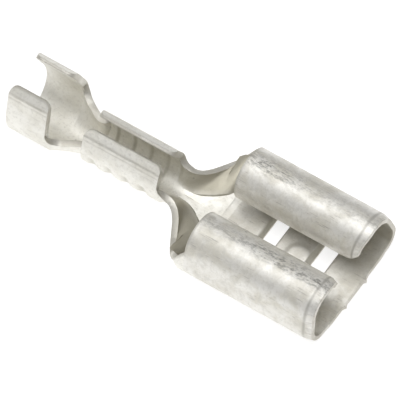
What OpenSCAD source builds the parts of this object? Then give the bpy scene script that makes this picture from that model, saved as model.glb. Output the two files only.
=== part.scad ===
// Female spade terminal with an open wire barrel and an open insulation barrel.
// One strip of tin plated brass, blanked and folded into a single piece. Millimetres.
// X runs along the terminal towards the tab mouth, Y across it, Z up from the floor of the socket.

/* [Tab socket] */
// Outside width across the two rolled sides
socket_width = 7.6; // [7.2:0.1:8.4]
// Height of the rolls above the underside of the floor
socket_height = 3.2; // [3.0:0.05:3.6]
// Length of the rolls
roll_length = 7.65; // [6.8:0.05:8.6]
// Outside radius of each roll
roll_radius = 1.41; // [1.3:0.01:1.5]
// Outside radius of the bend between the floor and each side
corner_radius = 1.0; // [0.9:0.05:1.1]
// Inward lean of each side wall, in degrees
wall_lean = 14; // [8:1:18]
// Angle round the roll at which its free lip ends, in degrees
roll_end_angle = 206; // [198:1:210]
// Length of the lead-in trimmed off each lip at the mouth
lead_in_length = 1.7; // [1.0:0.1:2.4]
// Height of the lead-in at the mouth
lead_in_height = 0.5; // [0.2:0.05:0.6]

/* [Sheet] */
// Thickness of the strip
stock = 0.35; // [0.3:0.01:0.4]
// Length of the coined bevel round the mouth
mouth_bevel_length = 0.5; // [0.3:0.05:0.7]
// Depth of the coined bevel at the mouth face
mouth_bevel_depth = 0.17; // [0.08:0.01:0.2]

/* [Floor windows] */
// Length of each window along the terminal
window_length = 0.94; // [0.7:0.02:1.2]
// Width of each window across the floor
window_width = 3.6; // [3.0:0.1:4.6]
// Distance from the mouth to the front edge of the front window
window_setback = 1.86; // [1.5:0.02:2.2]
// Distance between the two windows, from centre to centre
window_pitch = 2.92; // [2.6:0.02:3.2]
// Radius of the detent dimple on the bridge between the windows
dimple_radius = 0.8; // [0.5:0.05:0.9]
// Height of the detent dimple above the floor
dimple_height = 0.16; // [0.08:0.02:0.25]

/* [Transition] */
// Length from the wire barrel to the full socket floor
transition_length = 2.85; // [2.4:0.05:3.4]
// Height of the transition walls at the wire barrel
transition_wall_start = 1.45; // [1.2:0.05:1.45]
// Height of the transition walls at their lowest corner
transition_wall_low = 0.62; // [0.5:0.02:0.9]
// Height of the socket wall at the rear end of the full floor
shoulder_height = 1.5; // [1.3:0.05:1.7]
// Length of the full floor behind the rolls
shoulder_length = 0.45; // [0.3:0.05:0.8]
// Share of the transition at which its walls are lowest
low_corner_share = 0.74; // [0.65:0.01:0.8]

/* [Wire barrel] */
// Length of the wire barrel
wire_barrel_length = 4.56; // [4.0:0.02:5.4]
// Outside radius of the bottom of the wire barrel
wire_barrel_radius = 1.33; // [1.2:0.01:1.45]
// Outside radius of the curl of its wings
wire_curl_radius = 2.05; // [1.9:0.05:2.4]
// Turn of the curled part of each wing, in degrees
wire_curl_turn = 28; // [20:1:32]
// Straight run of each wing above its curl
wire_tip_length = 0.9; // [0.7:0.02:1.1]
// Height of both barrels above the socket floor
barrel_lift = 0.13; // [0:0.01:0.3]
// Spacing of the transverse serrations
serration_pitch = 1.01; // [0.9:0.01:1.1]
// Depth of each serration pressed into the outside
serration_depth = 0.07; // [0.03:0.01:0.1]

/* [Neck] */
// Length of the neck between the two barrels
neck_length = 1.69; // [1.4:0.01:2.2]
// Height of the neck walls
neck_height = 1.75; // [1.5:0.05:1.85]
// Amount by which the neck is pinched in, each side
neck_pinch = 0.35; // [0:0.05:0.4]

/* [Insulation barrel] */
// Length of the insulation barrel
insulation_barrel_length = 2.35; // [2.0:0.05:3.0]
// Outside radius of the bottom of the insulation barrel
insulation_barrel_radius = 1.94; // [1.8:0.02:2.1]
// Outside radius of the curl of its wings
insulation_curl_radius = 2.85; // [2.6:0.05:3.4]
// Turn of the curled part of each wing, in degrees
insulation_curl_turn = 20; // [15:1:26]
// Straight run of each wing above its curl
insulation_tip_length = 1.65; // [1.2:0.05:1.9]

/* [Wings] */
// Radius of the wing corners
wing_corner_radius = 0.45; // [0.3:0.05:0.6]
// Length of the coined bevel at the wing tips
wing_bevel_length = 0.45; // [0.3:0.05:0.6]
// Thickness left at the bevelled wing tips
wing_tip_thickness = 0.12; // [0.1:0.01:0.2]

/* [Hidden] */

// One colour for the tin plate, used by every module.
tin = [0.78, 0.77, 0.73];
$fn = 96;
// Distance by which a cutter passes the face that it cuts.
gap = 0.2;
// Turn by which a bend runs on into the straight strip next to it, so that the two join.
joint_turn = 0.05;

// Stations along X, measured from the middle of the whole terminal.
socket_length = roll_length + shoulder_length;
barrels_length = wire_barrel_length + neck_length + insulation_barrel_length;
overall_length = socket_length + transition_length + barrels_length;
mouth_x = overall_length / 2;
roll_rear_x = mouth_x - roll_length;
floor_rear_x = roll_rear_x - shoulder_length;
wire_front_x = floor_rear_x - transition_length;
wire_rear_x = wire_front_x - wire_barrel_length;
insulation_front_x = wire_rear_x - neck_length;
insulation_rear_x = insulation_front_x - insulation_barrel_length;

// Socket section on the +Y side: bend, straight wall, roll.
bend_y = socket_width / 2 - corner_radius;
wall_foot = [
    bend_y + corner_radius * cos(wall_lean),
    corner_radius * (1 + sin(wall_lean))
];
wall_along = [-sin(wall_lean), cos(wall_lean)];
wall_out = [cos(wall_lean), sin(wall_lean)];
wall_length = (socket_height - roll_radius - wall_foot[1] + roll_radius * sin(wall_lean))
    / cos(wall_lean);
roll_centre = wall_foot + wall_length * wall_along - roll_radius * wall_out;
wall_top_z = wall_foot[1] + wall_length * cos(wall_lean);
lip_end_z = roll_centre[1] + roll_radius * sin(roll_end_angle);

// Barrel sections: a half round bottom and two wings that curl inward.
wire_axis_z = barrel_lift + wire_barrel_radius;
insulation_axis_z = barrel_lift + insulation_barrel_radius;
serration_tool_radius = 0.45;
ridge_tool_radius = 0.19;
serration_count = 4;

// Fineness of the two lofted pieces.
loft_steps = 16;
side_points = 9;
// Run of each lofted piece into the pieces next to it, and its inset below their faces.
loft_run_in = 0.25;
loft_inset = 0.012;

// ---- General pieces -------------------------------------------------------

// Turns a drawing in the YZ plane, or a turned piece about Z, to lie along X.
module along_x() {
    rotate([90, 0, 90]) children();
}

// Carries a drawing in the XZ plane across the whole terminal.
module across_y(width) {
    rotate([90, 0, 0]) linear_extrude(width, center = true) children();
}

// Places a piece on both sides of the middle plane.
module both_sides() {
    children();
    mirror([0, 1, 0]) children();
}

// Thickness of the strip against X, with the coined bevel at the mouth where bevel is true.
function strip_section(skin, inward, x0, x1, bevel) = bevel
    ? [[skin, x0], [skin, x1 - mouth_bevel_length], [skin + inward * mouth_bevel_depth, x1],
       [skin + inward * stock, x1], [skin + inward * stock, x0]]
    : [[skin, x0], [skin, x1], [skin + inward * stock, x1], [skin + inward * stock, x0]];

// Part of a bend: the strip turned about an axis along X.
module bent_strip(centre, radius, start, turn, x0, x1, bevel = false) {
    along_x() translate([centre[0], centre[1], 0])
        rotate_extrude(angle = turn + 2 * joint_turn, start = start - joint_turn)
            polygon(strip_section(radius, -1, x0, x1, bevel));
}

// Straight run of the strip, from a point on its skin in the direction given.
module flat_strip(from, direction, run, x0, x1, bevel = false) {
    along_x() translate([from[0], from[1], 0]) rotate([0, 0, direction])
        along_x() linear_extrude(run) polygon(strip_section(0, 1, x0, x1, bevel));
}

// ---- Tab socket -----------------------------------------------------------

module socket_side() {
    bent_strip([bend_y, corner_radius], corner_radius, -90, 90 + wall_lean,
        floor_rear_x, mouth_x, true);
    flat_strip(wall_foot, 90 + wall_lean, wall_length, floor_rear_x, mouth_x, true);
    bent_strip(roll_centre, roll_radius, wall_lean, roll_end_angle - wall_lean,
        roll_rear_x, mouth_x, true);
}

// Cuts the walls down from the rear of the rolls to the shoulder.
module shoulder_cut() {
    slope = (wall_top_z - shoulder_height) / shoulder_length;
    across_y(socket_width + 2 * gap) polygon([
        [floor_rear_x - gap, shoulder_height - gap * slope],
        [roll_rear_x, wall_top_z],
        [roll_rear_x, socket_height + gap],
        [floor_rear_x - gap, socket_height + gap]
    ]);
}

// Trims the lips at the mouth so that a tab can find its way in.
module lead_in_cut() {
    across_y(2 * roll_centre[0]) polygon([
        [mouth_x - lead_in_length, lip_end_z],
        [mouth_x - lead_in_length, lip_end_z - gap],
        [mouth_x + gap, lip_end_z - gap],
        [mouth_x + gap, lip_end_z + lead_in_height * (1 + gap / lead_in_length)]
    ]);
}

module window_cut(setback) {
    translate([mouth_x - setback - window_length, -window_width / 2, -gap])
        cube([window_length, window_width, stock + 2 * gap]);
}

// Sphere whose cap stands up through a plane by the dimple height.
dimple_sphere_radius = (dimple_radius ^ 2 + dimple_height ^ 2) / (2 * dimple_height);
dimple_x = mouth_x - window_setback - window_length / 2 - window_pitch / 2;

module dimple_sphere(plane_z) {
    translate([dimple_x, 0, plane_z + dimple_height - dimple_sphere_radius])
        sphere(dimple_sphere_radius);
}

module dimple_cap() {
    intersection() {
        dimple_sphere(stock);
        translate([dimple_x - dimple_radius, -dimple_radius, stock / 2])
            cube([2 * dimple_radius, 2 * dimple_radius, stock]);
    }
}

module socket() {
    color(tin) difference() {
        union() {
            flat_strip([-bend_y, 0], 0, 2 * bend_y, floor_rear_x, mouth_x, true);
            both_sides() socket_side();
            dimple_cap();
        }
        shoulder_cut();
        lead_in_cut();
        window_cut(window_setback);
        window_cut(window_setback + window_pitch);
        dimple_sphere(0);
    }
}

// ---- Barrels --------------------------------------------------------------

// One wing on the +Y side: a curl, and a straight run that ends in a bevel on the outside.
module wing(axis_z, bottom_radius, curl_radius, turn, tip, x0, x1) {
    centre = [bottom_radius - curl_radius, axis_z];
    bent_strip(centre, curl_radius, 0, turn, x0, x1);
    along_x() translate([0, 0, x0]) linear_extrude(x1 - x0)
        translate(centre) rotate(turn) translate([curl_radius, 0])
            polygon([[0, 0], [0, tip - wing_bevel_length], [wing_tip_thickness - stock, tip],
                [-stock, tip], [-stock, 0]]);
}

// Rounds the corner of both wings at one end of a barrel; side is +1 at the front, -1 at the rear.
module wing_corner_cut(x, top_z, side) {
    across_y(socket_width) translate([x, top_z]) difference() {
        translate([side > 0 ? -wing_corner_radius : -gap, -wing_corner_radius])
            square([wing_corner_radius + gap, wing_corner_radius + gap]);
        translate([-side * wing_corner_radius, -wing_corner_radius])
            circle(wing_corner_radius);
    }
}

module barrel(axis_z, bottom_radius, curl_radius, turn, tip, x0, x1) {
    top_z = axis_z + curl_radius * sin(turn) + tip * cos(turn)
        - (stock - wing_tip_thickness) * sin(turn);
    difference() {
        union() {
            bent_strip([0, axis_z], bottom_radius, 180, 180, x0, x1);
            both_sides() wing(axis_z, bottom_radius, curl_radius, turn, tip, x0, x1);
        }
        wing_corner_cut(x0, top_z, -1);
        wing_corner_cut(x1, top_z, 1);
    }
}

// Ring that runs round the bottom of the wire barrel, for a serration or its ridge.
module serration_ring(x, tool_radius, centre_radius) {
    along_x() translate([0, wire_axis_z, x])
        rotate_extrude(angle = 180, start = 180)
            translate([centre_radius, 0]) circle(tool_radius);
}

module serrations(tool_radius, centre_radius) {
    middle = (wire_front_x + wire_rear_x) / 2;
    for (i = [0 : serration_count - 1])
        serration_ring(middle + (i - (serration_count - 1) / 2) * serration_pitch,
            tool_radius, centre_radius);
}

module wire_barrel() {
    color(tin) difference() {
        union() {
            barrel(wire_axis_z, wire_barrel_radius, wire_curl_radius, wire_curl_turn,
                wire_tip_length, wire_rear_x, wire_front_x);
            serrations(ridge_tool_radius,
                wire_barrel_radius - stock - serration_depth + ridge_tool_radius);
        }
        serrations(serration_tool_radius,
            wire_barrel_radius - serration_depth + serration_tool_radius);
    }
}

module insulation_barrel() {
    color(tin)
        barrel(insulation_axis_z, insulation_barrel_radius, insulation_curl_radius,
            insulation_curl_turn, insulation_tip_length, insulation_rear_x,
            insulation_front_x);
}

// ---- Lofted pieces --------------------------------------------------------

function mix(a, b, share) = a + (b - a) * share;
function smooth(share) = let (s = min(max(share, 0), 1)) s * s * (3 - 2 * s);
function unit(v) = v / norm(v);

// Point on an ellipse round (0, axis_z), with the angle measured from +Y.
function on_ellipse(axis_z, half_width, half_height, angle) =
    [half_width * cos(angle), axis_z + half_height * sin(angle)];

// Half section of the neck, from the middle of the floor out to the top of its wall.
function neck_half(share) = let (
    axis_z = mix(insulation_axis_z, wire_axis_z, share),
    half_height = axis_z - barrel_lift,
    end_width = mix(insulation_barrel_radius, wire_barrel_radius, share),
    half_width = end_width - neck_pinch * sin(180 * share),
    end_angle = asin(min((neck_height - axis_z) / half_height, 1))
) [for (j = [0 : side_points]) on_ellipse(axis_z, half_width, half_height,
    mix(-90, end_angle, j / side_points))];

// Half section of the wire barrel at its front end, up to the transition wall.
first_step_angle = 8;
transition_first = let (
    end_angle = asin((transition_wall_start - wire_axis_z) / wire_barrel_radius)
) [for (j = [0 : side_points]) on_ellipse(wire_axis_z, wire_barrel_radius, wire_barrel_radius,
    j == 0 ? -90 : mix(first_step_angle - 90, end_angle, (j - 1) / (side_points - 1)))];

// Half section of the socket at the rear end of its full floor.
shoulder_rise = (shoulder_height - wall_foot[1]) / cos(wall_lean);
transition_last = [for (j = [0 : side_points])
    j == 0 ? [0, 0]
    : j == side_points ? wall_foot + shoulder_rise * wall_along
    : [bend_y, corner_radius] + corner_radius
        * [cos(mix(-90, wall_lean, (j - 1) / (side_points - 2))),
           sin(mix(-90, wall_lean, (j - 1) / (side_points - 2)))]];

// Sizes of the transition between its ends: floor half width, wall half width and wall height.
floor_half_start = 0.35;
floor_half_gain = 1.5;
function floor_half(share) = floor_half_start + floor_half_gain * share ^ 3;
wall_half_start = 1.2;
flare_start = 0.15;
flare_share = 0.8;
shoulder_half = transition_last[side_points][0];
function wall_half(share) =
    mix(wall_half_start, shoulder_half, smooth((share - flare_start) / flare_share));
function wall_height(share) = share < low_corner_share
    ? mix(transition_wall_start, transition_wall_low, share / low_corner_share)
    : mix(transition_wall_low, shoulder_height,
        (share - low_corner_share) / (1 - low_corner_share));

// Angle of the transition wall at its top, and the pull of the curve at each end.
wall_top_angle = 72;
foot_pull = 0.6;
top_pull = 0.45;

function bezier(p, s) = p[0] * (1 - s) ^ 3 + 3 * p[1] * s * (1 - s) ^ 2
    + 3 * p[2] * s ^ 2 * (1 - s) + p[3] * s ^ 3;

function transition_middle(share) = let (
    floor_z = barrel_lift * (1 - smooth(share)),
    foot = [floor_half(share), floor_z],
    top = [wall_half(share), wall_height(share)],
    rise = top[1] - foot[1],
    curve = [foot, foot + [foot_pull * (top[0] - foot[0]), 0],
        top - top_pull * rise * [cos(wall_top_angle), sin(wall_top_angle)], top]
) [for (j = [0 : side_points]) j == 0 ? [0, floor_z]
    : bezier(curve, (j - 1) / (side_points - 1))];

function transition_half(share) =
    share <= 0 ? transition_first
    : share >= 1 ? transition_last
    : transition_middle(share);

// Whole row of skin points at one station, from the -Y wall to the +Y wall.
function full_row(x, half) = concat(
    [for (j = [side_points : -1 : 1]) [x, -half[j][0], half[j][1]]],
    [for (j = [0 : side_points]) [x, half[j][0], half[j][1]]]);

// Unit normals of one row, pointing into the fold. The run-in rows at both ends are straight.
function row_normals(rows, i) = let (
    last = len(rows) - 1,
    is_run_in = i <= 1 || i >= last - 1,
    count = len(rows[i])
) [for (j = [0 : count - 1]) let (
    along = is_run_in ? [1, 0, 0] : rows[i + 1][j] - rows[i - 1][j],
    across = rows[i][min(j + 1, count - 1)] - rows[i][max(j - 1, 0)]
) unit(cross(along, across))];

// One row moved into the sheet by the depth given.
function sunk_row(row, normals, depth) =
    [for (j = [0 : len(row) - 1]) row[j] + depth * normals[j]];

// The same row at another place along X.
function moved_row(row, step) = [for (p = row) p + [step, 0, 0]];

// Closed solid between the two faces of the sheet, run into its neighbours at both ends.
module loft(stations) {
    rows = concat([moved_row(stations[0], -loft_run_in)], stations,
        [moved_row(stations[len(stations) - 1], loft_run_in)]);
    count = len(rows[0]);
    last = len(rows) - 1;
    normals = [for (i = [0 : last]) row_normals(rows, i)];
    skin = [for (i = [0 : last]) sunk_row(rows[i], normals[i], loft_inset)];
    inner = [for (i = [0 : last]) sunk_row(rows[i], normals[i], stock - loft_inset)];
    size = (last + 1) * count;
    points = concat([for (row = skin) each row], [for (row = inner) each row]);
    skin_faces = [for (i = [0 : last - 1]) for (j = [0 : count - 2]) let (
        a = i * count + j, b = a + 1, c = a + count, d = c + 1
    ) each [[a, c, b], [b, c, d]]];
    inner_faces = [for (i = [0 : last - 1]) for (j = [0 : count - 2]) let (
        a = size + i * count + j, b = a + 1, c = a + count, d = c + 1
    ) each [[a, b, c], [b, d, c]]];
    side_faces = [for (i = [0 : last - 1]) let (
        a = i * count, c = a + count, e = a + count - 1, g = c + count - 1
    ) each [[a, a + size, c], [c, a + size, c + size],
        [e, g, e + size], [g, g + size, e + size]]];
    end_faces = [for (j = [0 : count - 2]) let (
        a = j, b = j + 1, c = last * count + j, d = c + 1
    ) each [[a, b, a + size], [b, b + size, a + size],
        [c, c + size, d], [d, c + size, d + size]]];
    polyhedron(points, concat(skin_faces, inner_faces, side_faces, end_faces));
}

module transition() {
    color(tin) loft([for (i = [0 : loft_steps]) full_row(
        mix(wire_front_x, floor_rear_x, i / loft_steps), transition_half(i / loft_steps))]);
}

module neck() {
    color(tin) loft([for (i = [0 : loft_steps / 2]) full_row(
        mix(insulation_front_x, wire_rear_x, 2 * i / loft_steps),
        neck_half(2 * i / loft_steps))]);
}

// ---- The part -------------------------------------------------------------

module terminal() {
    union() {
        socket();
        transition();
        wire_barrel();
        neck();
        insulation_barrel();
    }
}

terminal();
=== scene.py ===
"""Looks of a female spade terminal: one folded, tin plated strip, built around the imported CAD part.

Sizes are in millimetres. Distances along the terminal are measured from the tab mouth, so they are
negative, and MOUTH_X carries them into the frame. The strip is one grid of rows (stations along the
terminal) and columns (places across the strip), with a cell only where the blank has metal.
"""

import math

import bpy
import numpy as np
from mathutils import Matrix, Vector


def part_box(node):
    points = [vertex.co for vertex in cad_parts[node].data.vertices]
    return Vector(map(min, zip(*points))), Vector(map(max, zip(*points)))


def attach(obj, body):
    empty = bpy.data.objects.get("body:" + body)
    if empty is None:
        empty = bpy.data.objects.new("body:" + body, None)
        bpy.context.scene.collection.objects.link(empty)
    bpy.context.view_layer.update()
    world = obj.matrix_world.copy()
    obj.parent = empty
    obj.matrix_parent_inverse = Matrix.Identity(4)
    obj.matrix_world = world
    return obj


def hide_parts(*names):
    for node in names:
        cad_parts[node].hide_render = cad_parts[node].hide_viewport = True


MM = 0.001
SAME = 1e-6  # places nearer than this are one place

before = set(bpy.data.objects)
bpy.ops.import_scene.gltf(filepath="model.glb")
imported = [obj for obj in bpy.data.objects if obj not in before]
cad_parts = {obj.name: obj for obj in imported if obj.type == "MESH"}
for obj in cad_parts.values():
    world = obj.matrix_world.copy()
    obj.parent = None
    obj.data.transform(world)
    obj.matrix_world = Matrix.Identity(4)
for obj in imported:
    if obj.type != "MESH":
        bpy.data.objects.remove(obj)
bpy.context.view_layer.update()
node_low, node_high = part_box("terminal")
MOUTH_X = node_high.x / MM
REAR = (node_low.x - node_high.x) / MM
STOCK = 0.35

# Stations along the terminal, from the mouth.
INSULATION_FRONT = -17.2
WIRE_REAR = -15.51
WIRE_FRONT = -10.95
FLOOR_REAR = -8.1
ROLL_REAR = -7.65
WINDOWS = ((-5.645, -4.80), (-2.775, -1.865))
WINDOW_HALF_WIDTH = 1.8

# Columns on each side of the middle: up to the crease, on up the wall, and over a wing or a roll.
CREASE_COLUMN = 18
CORE_COLUMNS = 42
BARREL_COLUMNS = 18
BEVEL_COLUMNS = 4
ROLL_COLUMNS = 34

# Socket section.
SOCKET_HALF_WIDTH = node_high.y / MM
SOCKET_HEIGHT = 3.2
CORNER_RADIUS = 1.0
WALL_LEAN = math.radians(14)
ROLL_RADIUS = 1.41
ROLL_END = math.radians(203)
BEND_Y = SOCKET_HALF_WIDTH - CORNER_RADIUS


def smooth(t):
    """An eased step: 0 up to t = 0, and 1 from t = 1 on."""
    t = np.clip(t, 0.0, 1.0)
    return t * t * (3 - 2 * t)


def bump(distance, half_width):
    """A rounded hump: 1 at no distance and 0 from half_width on."""
    return np.clip(1 - (distance / half_width) ** 2, 0, 1) ** 2


def through(knots, x):
    """A smooth curve through the knots, without overshoot."""
    kx, ky = (np.array(v, float) for v in zip(*knots))
    slope = np.diff(ky) / np.diff(kx)
    tangent = np.zeros(len(kx))
    tangent[0], tangent[-1] = slope[0], slope[-1]
    for i in range(1, len(kx) - 1):
        if slope[i - 1] * slope[i] > 0:
            tangent[i] = 2 * slope[i - 1] * slope[i] / (slope[i - 1] + slope[i])
    i = int(np.clip(np.searchsorted(kx, x) - 1, 0, len(kx) - 2))
    run = kx[i + 1] - kx[i]
    t = min(max((x - kx[i]) / run, 0), 1)
    return float(
        ky[i] * (1 + 2 * t) * (1 - t) ** 2
        + tangent[i] * run * t * (1 - t) ** 2
        + ky[i + 1] * t * t * (3 - 2 * t)
        + tangent[i + 1] * run * t * t * (t - 1)
    )


# ---- Sections: places across the strip as (y, z), from the length s along its skin -----------


class Barrel:
    """A half round bottom and a wing that curls inward and then runs straight, on the +Y side.

    lift is the height of the bottom above the socket floor, and radius that of the bottom. curl and
    turn are the radius and the angle in degrees of the curled part, and straight is the run above
    it. corner is the radius of the wing's corners, and bevel the length of the coined bevel.
    """

    def __init__(self, rear, front, lift, radius, curl, turn, straight, corner, bevel):
        self.lift = lift
        self.radius = radius
        self.curl = curl
        self.corner = corner
        self.rear = rear
        self.front = front
        self.bevel = bevel
        self.axis = lift + radius
        self.quarter = math.pi / 2 * radius
        self.turn = math.radians(turn)
        self.straight = self.quarter + curl * self.turn
        self.edge = self.straight + straight

    def at(self, s):
        """Places (y, z) at the lengths s along the skin."""
        low = s / self.radius - math.pi / 2
        high = np.minimum((s - self.quarter) / self.curl, self.turn)
        on_wing = s > self.quarter
        past = np.maximum(s - self.straight, 0)
        wing_y = self.radius - self.curl + self.curl * np.cos(high) - past * math.sin(self.turn)
        wing_z = self.axis + self.curl * np.sin(high) + past * math.cos(self.turn)
        y = np.where(on_wing, wing_y, self.radius * np.cos(low))
        z = np.where(on_wing, wing_z, self.axis + self.radius * np.sin(low))
        return np.stack([y, z], axis=-1)

    def run_to(self, height):
        """Length along the skin to a height above the axis."""
        radius = self.curl if height > self.axis else self.radius
        return self.quarter + radius * math.asin((height - self.axis) / radius)

    def edge_at(self, x):
        """Length along the skin to the edge of the wing, with its rounded corners."""
        to_end = min(x - self.rear, self.front - x)
        short = max(self.corner - to_end, 0)
        return self.edge - self.corner + math.sqrt(max(self.corner**2 - short**2, 0))


WIRE = Barrel(
    WIRE_REAR, WIRE_FRONT,
    lift=0.13, radius=1.334, curl=2.05, turn=28, straight=0.9, corner=0.42, bevel=0.42,
)  # fmt: skip
INSULATION = Barrel(
    REAR, INSULATION_FRONT,
    lift=0.14, radius=1.942, curl=2.85, turn=20, straight=1.65, corner=0.45, bevel=0.5,
)  # fmt: skip

WALL_START = BEND_Y + CORNER_RADIUS * (math.pi / 2 + WALL_LEAN)
WALL_FOOT = np.array(
    [
        BEND_Y + CORNER_RADIUS * math.cos(WALL_LEAN),
        CORNER_RADIUS * (1 + math.sin(WALL_LEAN)),
    ]
)
WALL_RUN = (
    SOCKET_HEIGHT - ROLL_RADIUS - WALL_FOOT[1] + ROLL_RADIUS * math.sin(WALL_LEAN)
) / math.cos(WALL_LEAN)
WALL_ALONG = np.array([-math.sin(WALL_LEAN), math.cos(WALL_LEAN)])
WALL_OUT = np.array([math.cos(WALL_LEAN), math.sin(WALL_LEAN)])
ROLL_CENTRE = WALL_FOOT + WALL_RUN * WALL_ALONG - ROLL_RADIUS * WALL_OUT
ROLL_START = WALL_START + WALL_RUN
LIP_EDGE = ROLL_START + ROLL_RADIUS * (ROLL_END - WALL_LEAN)
CREST = ROLL_START + ROLL_RADIUS * (math.pi / 2 - WALL_LEAN)


def socket_at(s):
    """Places (y, z) at the lengths s: the floor, its rounded corner, the wall and the roll."""
    bend = (s - BEND_Y) / CORNER_RADIUS - math.pi / 2
    roll = (s - ROLL_START) / ROLL_RADIUS + WALL_LEAN
    flat = np.stack([s, np.zeros_like(s)], axis=-1)
    corner = np.stack(
        [BEND_Y + CORNER_RADIUS * np.cos(bend), CORNER_RADIUS * (1 + np.sin(bend))], axis=-1
    )
    wall = WALL_FOOT + (s - WALL_START)[:, None] * WALL_ALONG
    curl = ROLL_CENTRE + ROLL_RADIUS * np.stack([np.cos(roll), np.sin(roll)], axis=-1)
    place = np.where((s > BEND_Y)[:, None], corner, flat)
    place = np.where((s > WALL_START)[:, None], wall, place)
    return np.where((s > ROLL_START)[:, None], curl, place)


def wall_run_to(height):
    """Length along the skin to a height on the socket's wall."""
    return WALL_START + (height - WALL_FOOT[1]) / math.cos(WALL_LEAN)


# ---- Rows --------------------------------------------------------------------------------------

# Neck: half width and height of the top of its wall.
NECK_WIDTH = (
    (-17.2, 1.894), (-17.1, 1.85), (-16.9, 1.69), (-16.6, 1.49), (-16.3, 1.31),
    (-16.0, 1.14), (-15.75, 1.03), (-15.62, 1.04), (-15.51, 1.334),
)  # fmt: skip
NECK_HEIGHT = (
    (-17.2, 2.6), (-17.16, 2.32), (-17.08, 2.1), (-16.95, 1.92), (-16.8, 1.8), (-16.6, 1.72),
    (-16.3, 1.73), (-15.51, 1.8),
)  # fmt: skip
# Transition: half width and height of the outer top edge of its wall.
EDGE_WIDTH = (
    (-10.95, 1.25), (-10.7, 1.19), (-10.4, 1.2), (-10.1, 1.34), (-9.8, 1.69), (-9.5, 2.24),
    (-9.2, 2.79), (-8.9, 3.25), (-8.8, 3.36), (-8.5, 3.6), (-8.1, 3.72),
)  # fmt: skip
EDGE_HEIGHT = (
    (-10.95, 2.15), (-10.86, 1.75), (-10.7, 1.44), (-10.4, 1.21), (-10.1, 1.04), (-9.8, 0.89),
    (-9.5, 0.72), (-9.2, 0.6), (-8.95, 0.56), (-8.8, 0.72), (-8.1, 1.56),
)  # fmt: skip
# Height of the wall at the rear end of the rolls.
SHOULDER_TOP = 2.08
# Crease at the foot of the transition wall: it widens from its start on.
CREASE_START = -10.2
CREASE_HALF_WIDTH = 0.37
CREASE_SPREAD = 0.31
CREASE_RISE = 0.03
# Angles of the transition wall at its foot and top, and the pull of its curve at each end.
FOOT_ANGLE = math.radians(28)
TOP_ANGLE = math.radians(64)
FOOT_PULL = 0.32
TOP_PULL = 0.45
# Lengths over which the round barrel gives way to the folded section, and that to the socket.
ROUND_LENGTH = 1.1
FLAT_LENGTH = 0.5
DROP_POWER = 1.6

# Share of the core that its floor columns take, on the barrels and at the wire barrel's front.
FLOOR_PART = 0.3
FRONT_FLOOR_PART = 0.14
NECK_STEPS = 200
LEAST_COSINE = 0.9
SHORTEST_BEVEL = 0.02

FLOOR_SHARE = np.linspace(0, 1, CREASE_COLUMN + 1)[:-1]
WALL_SHARE = np.linspace(0, 1, CORE_COLUMNS - CREASE_COLUMN + 1)


def core_lengths(floor_half, edge):
    """Lengths along the skin of the core columns, from the middle to the edge given."""
    wall = floor_half + WALL_SHARE * (edge - floor_half)
    return np.concatenate([FLOOR_SHARE * floor_half, wall])


def wing_lengths(start, edge, bevel_start):
    """Lengths of the columns on a wing. The last few lie on its coined bevel."""
    plain = BARREL_COLUMNS - BEVEL_COLUMNS
    bend = min(bevel_start, edge - SHORTEST_BEVEL)
    first = start + (bend - start) * np.arange(1, plain + 1) / plain
    bevel = bend + (edge - bend) * np.arange(1, BEVEL_COLUMNS + 1) / BEVEL_COLUMNS
    return np.concatenate([first, bevel])


def barrel_row(barrel, x, core_edge, floor_part=FLOOR_PART):
    s = core_lengths(core_edge * floor_part, core_edge)
    s = np.concatenate([s, wing_lengths(core_edge, barrel.edge_at(x), barrel.edge - barrel.bevel)])
    return barrel.at(s), s


def neck_row(x):
    """An ellipse whose width and wall height follow the neck's tables."""
    share = (x - INSULATION_FRONT) / (WIRE_REAR - INSULATION_FRONT)
    axis = INSULATION.axis + (WIRE.axis - INSULATION.axis) * share
    drop = axis - INSULATION.lift
    top = through(NECK_HEIGHT, x)
    turn = math.asin(min((top - axis) / drop, 1))
    width = through(NECK_WIDTH, x) / max(math.cos(turn), LEAST_COSINE)
    angle = np.linspace(-math.pi / 2, turn, NECK_STEPS)
    curve = np.stack([width * np.cos(angle), axis + drop * np.sin(angle)], axis=-1)
    return spaced(curve, FLOOR_PART)


def spaced(curve, floor_part):
    """The core columns, spaced along a curve drawn from the middle to the edge."""
    steps = np.linalg.norm(np.diff(curve, axis=0), axis=1)
    run = np.concatenate([[0], np.cumsum(steps)])
    s = core_lengths(run[-1] * floor_part, run[-1])
    places = [np.interp(s, run, curve[:, 0]), np.interp(s, run, curve[:, 1])]
    return np.stack(places, axis=-1), s


def crease_half(x):
    """Half width of the floor between the two creases."""
    return CREASE_HALF_WIDTH + CREASE_SPREAD * max(x - CREASE_START, 0) ** 2


def bezier(p, t):
    t = t[:, None]
    early = p[0] * (1 - t) ** 3 + 3 * p[1] * t * (1 - t) ** 2
    return early + 3 * p[2] * t**2 * (1 - t) + p[3] * t**3


def folded_section(x):
    """Flat floor out to the crease, and a wall that curves up from it to the edge of the strip."""
    along = (x - WIRE_FRONT) / (FLOOR_REAR - WIRE_FRONT)
    floor_z = WIRE.lift * (1 - smooth(along))
    foot = np.array([crease_half(x), floor_z + CREASE_RISE])
    top = np.array([through(EDGE_WIDTH, x), through(EDGE_HEIGHT, x)])
    rise = top[1] - foot[1]
    pull = FOOT_PULL * (top[0] - foot[0])
    curve = [
        foot,
        foot + pull * np.array([math.cos(FOOT_ANGLE), math.sin(FOOT_ANGLE)]),
        top - TOP_PULL * rise * np.array([math.cos(TOP_ANGLE), math.sin(TOP_ANGLE)]),
        top,
    ]
    wall = bezier(curve, WALL_SHARE)
    middle = np.array([0.0, floor_z])
    floor = middle + FLOOR_SHARE[:, None] * (foot - middle)
    return np.concatenate([floor, wall])


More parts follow.
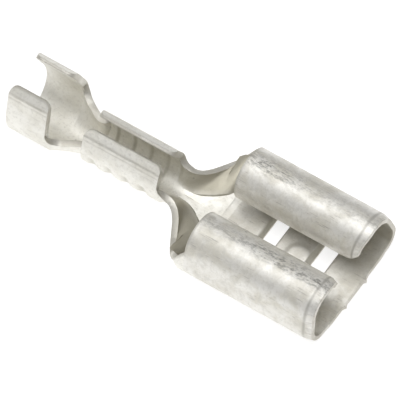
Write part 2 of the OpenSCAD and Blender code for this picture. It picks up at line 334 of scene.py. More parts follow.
def transition_row(x):
    """The folded section, blended into the round barrel at one end and the socket at the other."""
    folded = folded_section(x)
    round_part = 1 - smooth((x - WIRE_FRONT) / ROUND_LENGTH)
    if round_part > 0:
        floor_half = WIRE.run_to(through(EDGE_HEIGHT, WIRE_FRONT)) * FRONT_FLOOR_PART
        start = WIRE.at(core_lengths(floor_half, WIRE.run_to(through(EDGE_HEIGHT, x))))
        share = np.linspace(0, 1, len(start))[:, None]
        drop = (folded[-1] - start[-1]) * share**DROP_POWER
        folded = folded + round_part * (start + drop - folded)
    flat_part = smooth((x - FLOOR_REAR + FLAT_LENGTH) / FLAT_LENGTH)
    if flat_part > 0:
        edge = wall_run_to(through(EDGE_HEIGHT, x))
        flat = socket_at(core_lengths(WINDOW_HALF_WIDTH, edge))
        folded = folded + flat_part * (flat - folded)
    steps = np.linalg.norm(np.diff(folded, axis=0), axis=1)
    return folded, np.concatenate([[0], np.cumsum(steps)])


# Lead-in trimmed off each lip at the mouth, and the set-back of the end of each roll.
LEAD_IN_LENGTH = 1.7
LEAD_IN_DEPTH = 0.8
LEAD_IN_POWER = 1.5
SETBACK = 0.26
SETBACK_LENGTH = 0.9
SETBACK_START = 0.3
SETBACK_SHORT = 1.0


def socket_row(x):
    """The shoulder up to the rear end of the rolls, and from there on the whole roll."""
    low = through(EDGE_HEIGHT, FLOOR_REAR)
    rise = (x - FLOOR_REAR) / (ROLL_REAR - FLOOR_REAR)
    core_edge = wall_run_to(low + (SHOULDER_TOP - low) * min(rise, 1))
    s = core_lengths(WINDOW_HALF_WIDTH, core_edge)
    if x >= ROLL_REAR - SAME:
        edge = LIP_EDGE - LEAD_IN_DEPTH * max(1 + x / LEAD_IN_LENGTH, 0) ** LEAD_IN_POWER
        steps = np.arange(1, ROLL_COLUMNS + 1)
        s = np.concatenate([s, core_edge + (edge - core_edge) * steps / ROLL_COLUMNS])
    return socket_at(s), s


def spread(start, end, count, ease=0.0):
    """Stations from start up to end, closer together at both ends as ease goes to 1."""
    t = np.arange(count) / count
    eased = 0.5 - 0.5 * np.cos(np.pi * t)
    return list(start + (end - start) * (t * (1 - ease) + eased * ease))


# Stations of the socket: an even run, closer at the dimple, at the mouth and round each window.
EVEN_STEP = 0.15
EVEN_END = -0.6
DIMPLE_ZONE = (-4.5, -2.9)
DIMPLE_STEP = 0.07
MOUTH_START = -0.62
MOUTH_ROWS = 14
WINDOW_OFFSETS = (-0.3, -0.2, -0.12, -0.06, 0)
LEAST_STEP = 0.03


def socket_stations():
    places = list(np.arange(ROLL_REAR, EVEN_END, EVEN_STEP))
    places += list(np.arange(*DIMPLE_ZONE, DIMPLE_STEP))
    places += spread(MOUTH_START, 0, MOUTH_ROWS)
    for rear, front in WINDOWS:
        for offset in WINDOW_OFFSETS:
            places += [rear + offset, front - offset]
    edges = [e for window in WINDOWS for e in window] + [ROLL_REAR]
    kept = []
    for place in sorted(places + edges):
        if place <= ROLL_REAR + SAME:
            continue
        if kept and place - kept[-1] < LEAST_STEP:
            if any(abs(place - e) < SAME for e in edges):
                kept[-1] = place
            continue
        kept.append(place)
    return [ROLL_REAR] + kept + [0.0]


INSULATION_ROWS = spread(REAR, INSULATION_FRONT, count=40, ease=0.8)
NECK_ROWS = spread(INSULATION_FRONT, WIRE_REAR, count=34, ease=0.7)
WIRE_ROWS = spread(WIRE_REAR, WIRE_FRONT, count=84, ease=0.25)
TRANSITION_ROWS = spread(WIRE_FRONT, FLOOR_REAR, count=44, ease=0.2)
SHOULDER_ROWS = spread(FLOOR_REAR, ROLL_REAR, count=8)
SOCKET_ROWS = socket_stations()


def lay_out():
    """Every row of the grid: its station, its points on the +Y side, lengths along the skin, and
    the number of columns past the core in the cells in front of it."""
    rows = []
    rear_edge = INSULATION.run_to(NECK_HEIGHT[0][1])
    for x in INSULATION_ROWS:
        rows.append((x, *barrel_row(INSULATION, x, rear_edge), BARREL_COLUMNS))
    rows.append((NECK_ROWS[0], *barrel_row(INSULATION, NECK_ROWS[0], rear_edge), 0))
    for x in NECK_ROWS[1:]:
        rows.append((x, *neck_row(x), 0))
    low, high = WIRE.run_to(NECK_HEIGHT[-1][1]), WIRE.run_to(EDGE_HEIGHT[0][1])
    for x in WIRE_ROWS + [WIRE_FRONT]:
        share = (x - WIRE_REAR) / (WIRE_FRONT - WIRE_REAR)
        past = BARREL_COLUMNS if x < WIRE_FRONT else 0
        core_edge = low + (high - low) * share
        floor_part = FLOOR_PART + (FRONT_FLOOR_PART - FLOOR_PART) * share
        rows.append((x, *barrel_row(WIRE, x, core_edge, floor_part), past))
    for x in TRANSITION_ROWS[1:]:
        rows.append((x, *transition_row(x), 0))
    for x in SHOULDER_ROWS:
        rows.append((x, *socket_row(x), 0))
    for x in SOCKET_ROWS:
        rows.append((x, *socket_row(x), ROLL_COLUMNS))
    return rows


# ---- Relief on the two skins -------------------------------------------------------------------

SERRATION_MIDDLE = -13.375
SERRATION_PITCH = 1.01
SERRATION_COUNT = 4
SERRATIONS = tuple(
    SERRATION_MIDDLE + SERRATION_PITCH * (i - (SERRATION_COUNT - 1) / 2)
    for i in range(SERRATION_COUNT)
)
# Each relief is a size and a half width. A serration is a dent outside and a ridge inside.
DENT = (0.1, 0.4)
RIDGE = (0.09, 0.17)
SERRATION_REACH = 2.1
SERRATION_FADE = 0.5
DIMPLE_CENTRE = (-3.5, 0.1)
DIMPLE_RADIUS = 0.82
DIMPLE_HEIGHT = 0.075
DIMPLE_SLOPE = 0.34
FLOOR_REACH = 2.5
MOUTH_BEVEL = 0.42
MOUTH_BEVEL_DEPTH = 0.11
# The line that the punch left behind each bevel.
BEVEL_LINE_SETBACK = 0.05
WING_LINE = (0.012, 0.06)
MOUTH_LINE = (0.015, 0.07)
TIP_THICKNESS = 0.12
# Rollover along the rear edge, the front edge and the sides of each window: depth and length.
WINDOW_MARGIN = 0.05
REAR_ROLLOVER = (0.24, 0.25)
REAR_ROLLOVER_POWER = 1.3
FRONT_ROLLOVER = (0.05, 0.08)
SIDE_ROLLOVER = (0.08, 0.12)
TRANSVERSE_PLACE = -8.08
TRANSVERSE_LINE = (0.02, 0.1)
TRANSVERSE_REACH = 1.6
TRANSVERSE_FADE = 0.5
ARC_CENTRE = (-8.25, -0.25)
ARC_RADIUS = 1.08
ARC_LINE = (0.01, 0.09)
ARC_REACH = 1.5
# The floor at the mouth stands forward, more so where the carrier strip was cut off.
FORWARD = 0.05
FORWARD_REACH = 2.2
FORWARD_FADE = 0.6
TAB_FORWARD = 0.03
TAB_HALF_WIDTH = 1.0
TAB_FADE = 0.1
BURRS = ((-1.02, 0.1), (0.75, 0.12))
BURR_HALF_WIDTH = 0.17


def raised(relief, distance):
    size, half_width = relief
    return size * bump(distance, half_width)


def skin_relief(x, s, y):
    """Depths of the outer and the inner skin below the plain strip, both towards the fold."""
    outer = np.zeros_like(s)
    inner = np.full_like(s, STOCK)
    for barrel in (WIRE, INSULATION):
        if barrel.rear <= x <= barrel.front:
            past_line = s - barrel.edge + barrel.bevel
            outer += np.clip(past_line / barrel.bevel, 0, 1) * (STOCK - TIP_THICKNESS)
            outer += raised(WING_LINE, past_line + BEVEL_LINE_SETBACK)
    if WIRE_REAR <= x <= WIRE_FRONT:
        across = 1 - smooth((s - SERRATION_REACH) / SERRATION_FADE)
        for place in SERRATIONS:
            outer += raised(DENT, x - place) * across
            inner += raised(RIDGE, x - place) * across
    if x > -MOUTH_BEVEL:
        outer += MOUTH_BEVEL_DEPTH * ((x + MOUTH_BEVEL) / MOUTH_BEVEL)
    outer += raised(MOUTH_LINE, np.full_like(s, x + MOUTH_BEVEL + BEVEL_LINE_SETBACK))
    inner -= window_rollover(x, s)
    if x > FLOOR_REAR:
        from_dimple = np.hypot(x - DIMPLE_CENTRE[0], y - DIMPLE_CENTRE[1])
        slope = smooth((from_dimple - DIMPLE_RADIUS + DIMPLE_SLOPE) / DIMPLE_SLOPE)
        cap = DIMPLE_HEIGHT * (1 - slope) * (s < FLOOR_REACH)
        outer += cap
        inner += cap
    line = raised(TRANSVERSE_LINE, np.full_like(s, x - TRANSVERSE_PLACE))
    inner -= line * (1 - smooth((s - TRANSVERSE_REACH) / TRANSVERSE_FADE))
    if x < FLOOR_REAR:
        from_arc = np.hypot(x - ARC_CENTRE[0], y - ARC_CENTRE[1]) - ARC_RADIUS
        inner -= raised(ARC_LINE, from_arc) * (s < ARC_REACH)
    return outer, inner


def window_rollover(x, s):
    """How far the inner skin sinks towards the edges of the two windows."""
    sunk = np.zeros_like(s)
    on_floor = s < WINDOW_HALF_WIDTH + WINDOW_MARGIN
    for rear, front in WINDOWS:
        depth = 0
        if x <= rear + SAME:
            near = np.clip(1 - (rear - x) / REAR_ROLLOVER[1], 0, 1)
            depth += REAR_ROLLOVER[0] * near**REAR_ROLLOVER_POWER
        if x >= front - SAME:
            near = np.clip(1 - (x - front) / FRONT_ROLLOVER[1], 0, 1)
            depth += FRONT_ROLLOVER[0] * near**2
        sunk += np.where(on_floor, depth, 0)
        if rear <= x <= front:
            near = np.clip(1 - (s - WINDOW_HALF_WIDTH) / SIDE_ROLLOVER[1], 0, 1)
            sunk += SIDE_ROLLOVER[0] * near**2 * (s >= WINDOW_HALF_WIDTH - SAME)
    return sunk


def build_strip():
    """The grid of the strip: its cells, its two skins, and what the material reads off it."""
    rows = lay_out()
    columns = CORE_COLUMNS + ROLL_COLUMNS
    count = len(rows)
    shape = (count, 2 * columns + 1)
    skin = np.full(shape + (3,), np.nan)
    length = np.zeros(shape)
    past = np.zeros(count, int)
    for i, (x, half, s, ahead) in enumerate(rows):
        n = len(half)
        past[i] = ahead
        side = np.column_stack([np.full(n, x), half])
        skin[i, columns : columns + n] = side
        skin[i, columns - n + 1 : columns + 1] = side[::-1] * (1, -1, 1)
        length[i, columns : columns + n] = s
        length[i, columns - n + 1 : columns + 1] = s[::-1]
    stations = np.array([r[0] for r in rows])
    from_middle = np.abs(np.arange(-columns, columns + 1))

    cells = np.zeros((count - 1, 2 * columns), bool)
    outward = np.maximum(from_middle[:-1], from_middle[1:])
    for i in range(count - 1):
        cells[i] = outward <= CORE_COLUMNS + past[i]
        for rear, front in WINDOWS:
            if rear - SAME <= stations[i] and stations[i + 1] <= front + SAME:
                cells[i] &= outward > CREASE_COLUMN

    # The end of each roll is set back towards its lip.
    for i, x in enumerate(stations):
        if x > -SETBACK_LENGTH:
            past_crest = length[i] - CREST - SETBACK_START
            eased = smooth(past_crest / (LIP_EDGE - CREST - SETBACK_SHORT))
            skin[i, :, 0] -= SETBACK * eased * (1 + x / SETBACK_LENGTH)

    normals = skin_normals(skin, cells)
    outer_skin = np.zeros_like(skin)
    inner_skin = np.zeros_like(skin)
    for i, x in enumerate(stations):
        outer, inner = skin_relief(x, length[i], skin[i, :, 1])
        outer_skin[i] = skin[i] + normals[i] * outer[:, None]
        inner_skin[i] = skin[i] + normals[i] * inner[:, None]
    shape_mouth(outer_skin[-1], inner_skin[-1], length[-1])
    dent, ridge = serration_shade_masks(stations, length)
    lines = {
        "bevel_line": bevel_lines(stations, length),
        "crease_line": crease_lines(stations, length),
        "wall": wall_part(stations, length),
        "dent": dent,
        "ridge": ridge,
    }
    return stations, length, lines, cells, outer_skin, inner_skin


def bevel_lines(stations, length):
    """How near each place is to the line where the coined bevel of a wing starts, 1 on the line."""
    lines = np.zeros_like(length)
    for i, x in enumerate(stations):
        for barrel in (WIRE, INSULATION):
            if barrel.rear <= x <= barrel.front:
                from_line = length[i] - barrel.edge + barrel.bevel
                lines[i] = np.maximum(bump(from_line, 0.09), 0.7 * bump(from_line + 0.22, 0.08))
    return lines


def crease_lines(stations, length):
    """How near each place is to the crease at the foot of each wall of the transition. The material
    paints a dark line of shade there.
    """
    lines = np.zeros_like(length)
    for i, x in enumerate(stations):
        if WIRE_FRONT < x < FLOOR_REAR + 0.3:
            ends = smooth((x + 10.0) / 0.5) * smooth((FLOOR_REAR + 0.2 - x) / 0.4)
            lines[i] = bump(length[i] - crease_half(x), 0.07) * ends
    return lines


def wall_part(stations, length):
    """1 on the walls of the transition, a little less close to their crease. The material paints
    shade there.
    """
    part = np.zeros_like(length)
    for i, x in enumerate(stations):
        if WIRE_FRONT < x <= ROLL_REAR:
            above = length[i] - (crease_half(x) if x < FLOOR_REAR else WINDOW_HALF_WIDTH)
            part[i] = smooth(above / 0.1) * (0.55 + 0.45 * smooth(above / 0.5))
            part[i] *= smooth((x - WIRE_FRONT) / 0.9)
    return part


def serration_shade_masks(stations, length):
    """Painted shade of the serrations: a patch on each dent on the outer skin, and a line beside each
    ridge on the inner one.
    """
    patch = np.zeros_like(length)
    line = np.zeros_like(length)
    for place in SERRATIONS:
        near = np.clip(1 - np.abs(stations - place) / 0.3, 0, 1)[:, None]
        patch += near * smooth((length - 1.3) / 0.2) * (1 - smooth((length - 2.2) / 0.25))
        line += bump(stations - place - 0.12, 0.13)[:, None] * (1 - smooth((length - 2.3) / 0.3))
    return patch, line


def shape_mouth(outer_row, inner_row, s):
    """The floor stands a little forward at the mouth, with the burrs of the carrier strip."""
    y = outer_row[:, 1]
    on_floor = s < FLOOR_REACH
    forward = FORWARD * (1 - smooth((s - FORWARD_REACH) / FORWARD_FADE))
    tab = TAB_FORWARD * (1 - smooth((np.abs(y) - TAB_HALF_WIDTH) / TAB_FADE)) * on_floor
    burr = sum(size * bump(y - place, BURR_HALF_WIDTH) for place, size in BURRS) * on_floor
    outer_row[:, 0] += forward + tab + burr
    inner_row[:, 0] += forward + tab * 0.6 + burr * 0.8


def skin_normals(skin, cells):
    """Normals of the skin that point into the fold, from the cells that meet at each point."""
    a, b, c, d = skin[:-1, :-1], skin[:-1, 1:], skin[1:, :-1], skin[1:, 1:]
    face = np.cross(d - a, b - c)
    face = face / np.maximum(np.linalg.norm(face, axis=-1, keepdims=True), 1e-12)
    face[~cells] = 0
    face = np.nan_to_num(face)
    total = np.zeros_like(skin)
    total[:-1, :-1] += face
    total[:-1, 1:] += face
    total[1:, :-1] += face
    total[1:, 1:] += face
    return total / np.maximum(np.linalg.norm(total, axis=-1, keepdims=True), 1e-12)


def to_frame(points):
    """From millimetres behind the mouth to metres in the frame."""
    return (points + (MOUTH_X, 0, 0)) * MM


def make_mesh(name, stations, length, lines, cells, outer_skin, inner_skin):
    """One closed mesh: both skins, and a rim wherever a cell has no neighbour."""
    used = np.zeros(outer_skin.shape[:2], bool)
    used[:-1, :-1] |= cells
    used[:-1, 1:] |= cells
    used[1:, :-1] |= cells
    used[1:, 1:] |= cells
    number = np.full(used.shape, -1)
    number[used] = np.arange(used.sum())
    size = int(used.sum())
    points = np.concatenate([to_frame(outer_skin[used]), to_frame(inner_skin[used])])
    a, b = number[:-1, :-1], number[:-1, 1:]
    c, d = number[1:, :-1], number[1:, 1:]
    outside = np.stack([a, b, d, c], axis=-1)[cells]
    inside = np.stack([a, c, d, b], axis=-1)[cells] + size
    faces = [outside, inside]
    padded = np.pad(cells, 1)
    here = padded[1:-1, 1:-1]
    rim_point = np.zeros(size)
    rim_ends = []
    for there, start, end in (
        (padded[:-2, 1:-1], a, b),
        (padded[2:, 1:-1], d, c),
        (padded[1:-1, :-2], c, a),
        (padded[1:-1, 2:], b, d),
    ):
        rim = here & ~there
        rim_point[start[rim]] = 1
        rim_point[end[rim]] = 1
        ends = np.stack([start[rim], end[rim]], axis=-1)
        rim_ends += [ends, ends + size]
        faces.append(np.stack([end, start, start + size, end + size], axis=-1)[rim])
    mesh = bpy.data.meshes.new(name)
    mesh.from_pydata(points.tolist(), [], np.concatenate(faces).tolist())
    mesh.validate()
    mark_rims(mesh, np.concatenate(rim_ends))
    none = np.zeros(size)
    x = np.repeat(stations[:, None], used.shape[1], axis=1)[used]
    for attribute, on_outer, on_inner in (
        ("run", length[used], length[used]),
        ("inside", none, np.ones(size)),
        ("rim", rim_point, rim_point),
        ("bevel_line", lines["bevel_line"][used], none),
        ("crease_line", none, lines["crease_line"][used]),
        ("wall", none, lines["wall"][used]),
        ("serration_shade", lines["dent"][used], lines["ridge"][used]),
        ("station", x, x),
    ):
        store(mesh, attribute, np.concatenate([on_outer, on_inner]))
    piece = bpy.data.objects.new(name, mesh)
    bpy.context.scene.collection.objects.link(piece)
    return piece


def mark_rims(mesh, rim_ends):
    """Gives the edges along the rims of the strip the weight that the bevel looks for."""
    ends = np.empty(2 * len(mesh.edges), np.int64)
    mesh.edges.foreach_get("vertices", ends)
    count = len(mesh.vertices)
    keys = [np.sort(e.reshape(-1, 2), axis=1) @ (count, 1) for e in (ends, rim_ends)]
    weight = mesh.attributes.new("bevel_weight_edge", "FLOAT", "EDGE")
    weight.data.foreach_set("value", np.isin(keys[0], keys[1]).astype(np.float32))


def store(mesh, name, values):
    layer = mesh.attributes.new(name, "FLOAT", "POINT")
    layer.data.foreach_set("value", values.astype(np.float32))


RIM_ROUNDING = 0.035


def finish_mesh(piece):
    """Rounds the rims of the strip a little and shades the rest smooth."""
    mesh = piece.data
    mesh.shade_smooth()
    rounding = piece.modifiers.new("rim", "BEVEL")
    rounding.width = RIM_ROUNDING * MM
    rounding.segments = 2
    rounding.limit_method = "WEIGHT"
    rounding.use_clamp_overlap = True


# ---- Material ----------------------------------------------------------------------------------


class Nodes:
    """Short names for the node calls that the material repeats."""

    def __init__(self, tree):
        self.tree = tree
        tree.nodes.clear()

    def add(self, kind, **values):
        node = self.tree.nodes.new(kind)
        for key, value in values.items():
            setattr(node, key, value)
        return node

    def link(self, source, target):
        self.tree.links.new(source, target)

    def value(self, socket, source):
        if isinstance(source, bpy.types.NodeSocket):
            self.link(source, socket)
        else:
            socket.default_value = source

    def math(self, operation, a, b=0.0):
        node = self.add("ShaderNodeMath", operation=operation)
        self.value(node.inputs[0], a)
        self.value(node.inputs[1], b)
        return node.outputs[0]

    def times(self, first, *others):
        for other in others:
            first = self.math("MULTIPLY", first, other)
        return first

    def range(self, value, low, high, to_low=0.0, to_high=1.0):
        node = self.add("ShaderNodeMapRange", interpolation_type="SMOOTHSTEP")
        for socket, source in zip(node.inputs, (value, low, high, to_low, to_high)):
            self.value(socket, source)
        return node.outputs[0]

    def noise(self, coords, scale, detail=4.0, rough=0.55, distortion=0.0):
        node = self.add("ShaderNodeTexNoise")
        self.link(coords, node.inputs["Vector"])
        node.inputs["Scale"].default_value = scale
        node.inputs["Detail"].default_value = detail
        node.inputs["Roughness"].default_value = rough
        node.inputs["Distortion"].default_value = distortion
        return node.outputs["Fac"]

    def mapped(self, coords, scale, turn=(0, 0, 0), move=(0, 0, 0)):
        node = self.add("ShaderNodeMapping")
        self.link(coords, node.inputs["Vector"])
        node.inputs["Scale"].default_value = scale
        node.inputs["Rotation"].default_value = [math.radians(t) for t in turn]
        node.inputs["Location"].default_value = move
        return node.outputs[0]

    def mix(self, factor, a, b):
        node = self.add("ShaderNodeMix", data_type="RGBA")
        self.value(node.inputs["Factor"], factor)
        self.value(node.inputs[6], a)
        self.value(node.inputs[7], b)
        return node.outputs[2]

    def attribute(self, name):
        return self.add("ShaderNodeAttribute", attribute_name=name).outputs["Fac"]


# Colours of the plating, of what lies on it, and of the shade painted on it.
PLATE = (0.9, 0.885, 0.84, 1)
PLATE_DARK = (0.77, 0.745, 0.67, 1)
PLATE_LIGHT = (0.97, 0.955, 0.89, 1)
BLOTCH = (0.60, 0.585, 0.53, 1)
GRAIN = (0.70, 0.68, 0.62, 1)
# Olive grey of the painted shade on the inner walls, on the near side and on the far side.
WALL_SHADE_NEAR = (0.37, 0.345, 0.27, 1)
WALL_SHADE_FAR = (0.52, 0.49, 0.395, 1)
# Colour of the painted shade inside the socket.
SOCKET_SHADE = (0.58, 0.56, 0.50, 1)
# Colour of the painted shade at the serrations.
SERRATION_SHADE = (0.43, 0.41, 0.32, 1)
# Colour of the painted shade along the creases.
CREASE = (0.22, 0.2, 0.16, 1)
SCUFF = (0.2, 0.19, 0.17, 1)
WORN = (0.40, 0.385, 0.35, 1)
RIM_DIRT = (0.5, 0.475, 0.41, 1)
PIT = (0.30, 0.29, 0.26, 1)
SCRATCH = (0.38, 0.36, 0.33, 1)


def tin_material():
    """Satin tin plate, with scuffs, dirt, pits and scratches where the strip has them, and painted
    shade on the inner walls, inside the socket, along the creases and at the serrations.
    """
    material = bpy.data.materials.new("tin_plate")
    material.use_nodes = True
    n = Nodes(material.node_tree)
    place = n.add("ShaderNodeTexCoord").outputs["Object"]
    mm = n.mapped(place, (1 / MM, 1 / MM, 1 / MM))
    run = n.attribute("run")
    inside = n.attribute("inside")
    station = n.attribute("station")
    outside = n.math("SUBTRACT", 1.0, inside)
    parts = n.add("ShaderNodeSeparateXYZ")
    n.link(mm, parts.inputs[0])
    far_side = n.range(parts.outputs[1], -0.1, 0.1)
    on_socket = n.range(station, ROLL_REAR - 0.05, ROLL_REAR + 0.05)

    # Slow mottling of the plating, and finer cloudiness on top of it.
    cloud = n.noise(mm, 0.9, 6, 0.62, 0.4)
    grain = n.noise(mm, 7.0, 5, 0.6)
    colour = n.mix(n.range(cloud, 0.38, 0.68), PLATE, PLATE_DARK)
    light = n.times(n.math("SUBTRACT", 1.0, on_socket), 0.6)
    colour = n.mix(light, colour, PLATE_LIGHT)
    blotch = n.range(n.noise(mm, 2.1, 9, 0.72, 0.6), 0.47, 0.64)
    blotch = n.times(blotch, n.range(on_socket, 0, 1, 0.2, 0.36))
    colour = n.mix(blotch, colour, BLOTCH)
    colour = n.mix(n.times(n.range(grain, 0.5, 0.7), 0.5), colour, GRAIN)

    # Painted shade: the steep inner walls inside the folds are darkened to an olive grey, darker on
    # the near side, and in the rolls only on the far side.
    facing = n.add("ShaderNodeSeparateXYZ")
    n.link(n.add("ShaderNodeNewGeometry").outputs["Normal"], facing.inputs[0])
    steep = n.range(facing.outputs[2], 0.97, 0.72)
    inner = n.range(inside, 0.95, 1.0)
    uneven = n.range(cloud, 0.25, 0.6, 0.6, 0.95)
    past_barrel = n.range(station, WIRE_FRONT - 0.4, WIRE_FRONT + 0.8, 0.08, 1.0)
    painted_shade = n.times(steep, inner, uneven, past_barrel)
    painted_shade = n.math("MAXIMUM", painted_shade, n.times(n.attribute("wall"), inner, 0.9))
    in_roll = n.range(far_side, 0, 1, 0.0, 0.8)
    painted_shade = n.times(painted_shade, n.range(station, FLOOR_REAR, ROLL_REAR + 0.5, 1.0, in_roll))
    olive = n.mix(far_side, WALL_SHADE_NEAR, WALL_SHADE_FAR)
    colour = n.mix(painted_shade, colour, olive)
    # Painted shade on the inner skin of the socket, under the rolls, stronger on the far side.
    socket_shade = n.times(inner, on_socket, n.range(far_side, 0, 1, 0.08, 0.36))
    colour = n.mix(socket_shade, colour, SOCKET_SHADE)
    # Painted shade of the serration dents and ridges.
    colour = n.mix(n.times(n.attribute("serration_shade"), 0.5), colour, SERRATION_SHADE)
    # Painted shade: a dark line along the crease at the foot of each transition wall.
    colour = n.mix(n.times(n.attribute("crease_line"), 0.8), colour, CREASE)

    # Scuffs along the crest of each roll.
    crest = n.math("SUBTRACT", run, n.range(far_side, 0, 1, CREST + 0.4, CREST - 0.15))
    crest = n.range(n.math("ABSOLUTE", crest), 0.7, 0.05)
    near_weight = n.range(station, -6.5, -3.0, 0.4, 1.0)
    far_weight = n.range(station, -6.0, -3.5, 0.9, 0.3)
    by_side = n.range(far_side, 0, 1, near_weight, far_weight)
    crest = n.times(crest, by_side, n.times(on_socket, outside))
    streaks = n.noise(n.mapped(mm, (0.8, 3.4, 3.4)), 1.8, 9, 0.78)
    specks = n.noise(n.mapped(mm, (1.3, 3, 3), (0, 0, 18)), 2.6, 8, 0.78)
    scuff = n.times(crest, n.range(streaks, 0.44, 0.56), n.range(specks, 0.44, 0.54))
    colour = n.mix(n.times(scuff, 0.75), colour, SCUFF)

    # Dark line and drag marks where the mouth was coined.
    band = n.math("ABSOLUTE", n.math("ADD", station, MOUTH_BEVEL + 0.03))
    band = n.times(n.range(band, 0.14, 0.01), outside)
    drag = n.times(n.range(station, -0.62, -0.4), outside, n.range(streaks, 0.42, 0.68))
    worn = n.math("MAXIMUM", n.times(band, 0.55), n.times(drag, 0.5))
    worn = n.times(worn, on_socket)
    colour = n.mix(worn, colour, WORN)

    # Dirt along the rims of the strip, and along the line where each wing was coined.
    rim = n.times(n.attribute("rim"), n.range(cloud, 0.25, 0.6, 0.3, 0.62))
    line = n.times(n.attribute("bevel_line"), n.range(streaks, 0.35, 0.6, 0.2, 0.75))
    colour = n.mix(n.math("MAXIMUM", rim, line), colour, RIM_DIRT)

    # Small dark pits and fine scratches.
    pits = n.add("ShaderNodeTexVoronoi", feature="F1")
    n.link(mm, pits.inputs["Vector"])
    pits.inputs["Scale"].default_value = 1.3
    rare = n.range(n.noise(mm, 1.7, 2), 0.52, 0.56)
    pit = n.times(n.range(pits.outputs["Distance"], 0.11, 0.05), rare)
    colour = n.mix(n.times(pit, 0.6), colour, PIT)
    scratch = n.noise(n.mapped(mm, (0.5, 9, 9), (0, 0, 24)), 2.0, 3, 0.5)
    scratch = n.times(n.range(scratch, 0.63, 0.67), n.range(cloud, 0.46, 0.58))
    scratch = n.times(scratch, n.range(on_socket, 0, 1, 0.3, 1.0))
    colour = n.mix(n.times(scratch, 0.5), colour, SCRATCH)

    shader = n.add("ShaderNodeBsdfPrincipled")
    n.link(colour, shader.inputs["Base Color"])
    shader.inputs["Metallic"].default_value = 0.72
    rough = n.range(cloud, 0.3, 0.7, 0.48, 0.62)
    rough = n.math("ADD", rough, n.times(scuff, 0.15))
    n.link(rough, shader.inputs["Roughness"])

    height = n.math("ADD", cloud, n.times(grain, 0.34))
    for mark, depth in ((pit, 0.6), (scratch, 0.2), (scuff, 0.3)):
        height = n.math("SUBTRACT", height, n.times(mark, depth))
    relief = n.add("ShaderNodeBump")
    relief.inputs["Strength"].default_value = 0.5
    relief.inputs["Distance"].default_value = 0.05 * MM
    n.link(height, relief.inputs["Height"])
    n.link(relief.outputs[0], shader.inputs["Normal"])
    out = n.add("ShaderNodeOutputMaterial")
    n.link(shader.outputs[0], out.inputs["Surface"])
    return material


# ---- Stage, light and camera -------------------------------------------------------------------

VIEW_AZIMUTH = math.radians(43.06)
VIEW_ELEVATION = math.radians(59.15)
VIEW_ROLL = math.radians(-9.93)
FRAME_WIDTH = 19.82
AIM = (0.92, -0.455, 1.857)
LENS = 1600
SENSOR = 36


def view_direction():
    az, el = VIEW_AZIMUTH, VIEW_ELEVATION
    return Vector((math.sin(az) * math.cos(el), -math.cos(az) * math.cos(el), math.sin(el)))


def make_camera():
    az, roll = VIEW_AZIMUTH, VIEW_ROLL
    back = view_direction()
    level = Vector((math.cos(az), math.sin(az), 0))
    right = level * math.cos(roll) + back.cross(level) * math.sin(roll)
    up = back.cross(right)
    data = bpy.data.cameras.new("camera")
    data.lens = LENS
    data.sensor_width = SENSOR
    data.clip_start = 0.01
    data.clip_end = 10
    camera = bpy.data.objects.new("camera", data)
    distance = FRAME_WIDTH * LENS / SENSOR * MM
    turn = Matrix((right, up, back)).transposed().to_4x4()
    camera.matrix_world = Matrix.Translation(Vector(AIM) * MM + back * distance) @ turn
    bpy.context.scene.collection.objects.link(camera)
    bpy.context.scene.camera = camera


FLOOR_HALF_WIDTH = 0.6  # metres
FLOOR_DROP = 0.02
LIGHT_DISTANCE = 0.5  # metres


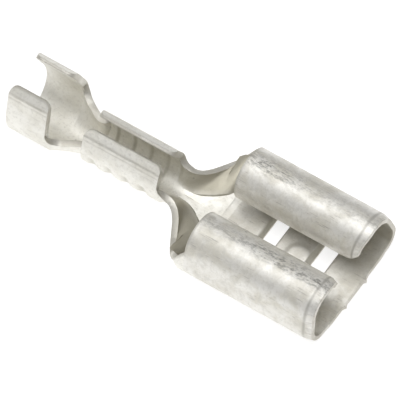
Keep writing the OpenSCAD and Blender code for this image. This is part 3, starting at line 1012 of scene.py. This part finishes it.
def make_floor():
    half, down = FLOOR_HALF_WIDTH, -FLOOR_DROP * MM
    mesh = bpy.data.meshes.new("floor")
    corners = [(-half, -half, down), (half, -half, down), (half, half, down), (-half, half, down)]
    mesh.from_pydata(corners, [], [(0, 1, 2, 3)])
    floor = bpy.data.objects.new("floor", mesh)
    bpy.context.scene.collection.objects.link(floor)
    material = bpy.data.materials.new("white_floor")
    material.use_nodes = True
    n = Nodes(material.node_tree)
    shader = n.add("ShaderNodeBsdfPrincipled")
    shader.inputs["Base Color"].default_value = (0.5, 0.5, 0.5, 1)
    shader.inputs["Roughness"].default_value = 0.9
    shader.inputs["Emission Color"].default_value = (1, 1, 1, 1)
    shader.inputs["Emission Strength"].default_value = 0.72
    out = n.add("ShaderNodeOutputMaterial")
    n.link(shader.outputs[0], out.inputs["Surface"])
    mesh.materials.append(material)


def make_area_light(name, azimuth, elevation, size, power):
    data = bpy.data.lights.new(name, "AREA")
    data.shape = "DISK"
    data.size = size
    data.energy = power
    light = bpy.data.objects.new(name, data)
    a, e = math.radians(azimuth), math.radians(elevation)
    towards = Vector((math.sin(a) * math.cos(e), -math.cos(a) * math.cos(e), math.sin(e)))
    light.location = towards * LIGHT_DISTANCE
    light.rotation_mode = "QUATERNION"
    light.rotation_quaternion = towards.to_track_quat("Z", "Y")
    bpy.context.scene.collection.objects.link(light)


def make_world():
    world = bpy.data.worlds.new("studio")
    bpy.context.scene.world = world
    world.use_nodes = True
    n = Nodes(world.node_tree)
    # The room is brighter in front of the terminal than behind it.
    towards = n.add("ShaderNodeSeparateXYZ")
    n.link(n.add("ShaderNodeTexCoord").outputs["Generated"], towards.inputs[0])
    front = n.math("SUBTRACT", n.math("MULTIPLY", towards.outputs[0], 0.3), towards.outputs[1])
    shade = n.add("ShaderNodeBackground")
    shade.inputs["Color"].default_value = (1, 1, 1, 1)
    strength = n.range(front, -0.9, 0.7, 0.22, 0.4)
    # It is darker around the camera, which is seen in whatever faces it.
    to_camera = n.add("ShaderNodeVectorMath", operation="DOT_PRODUCT")
    n.link(n.add("ShaderNodeTexCoord").outputs["Generated"], to_camera.inputs[0])
    to_camera.inputs[1].default_value = view_direction()
    near_camera = n.range(to_camera.outputs["Value"], 0.8, 0.98, 1.0, 0.35)
    n.link(n.math("MULTIPLY", strength, near_camera), shade.inputs["Strength"])
    out = n.add("ShaderNodeOutputWorld")
    n.link(shade.outputs[0], out.inputs["Surface"])


strip = make_mesh("folded_strip", *build_strip())
finish_mesh(strip)
strip.data.materials.append(tin_material())
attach(strip, "root")
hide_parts("terminal")

make_floor()
make_world()
make_area_light("key", azimuth=43, elevation=88, size=0.45, power=1.42)
make_area_light("back", azimuth=223, elevation=66, size=0.25, power=0.2)
make_camera()
bpy.context.scene.view_settings.view_transform = "Standard"
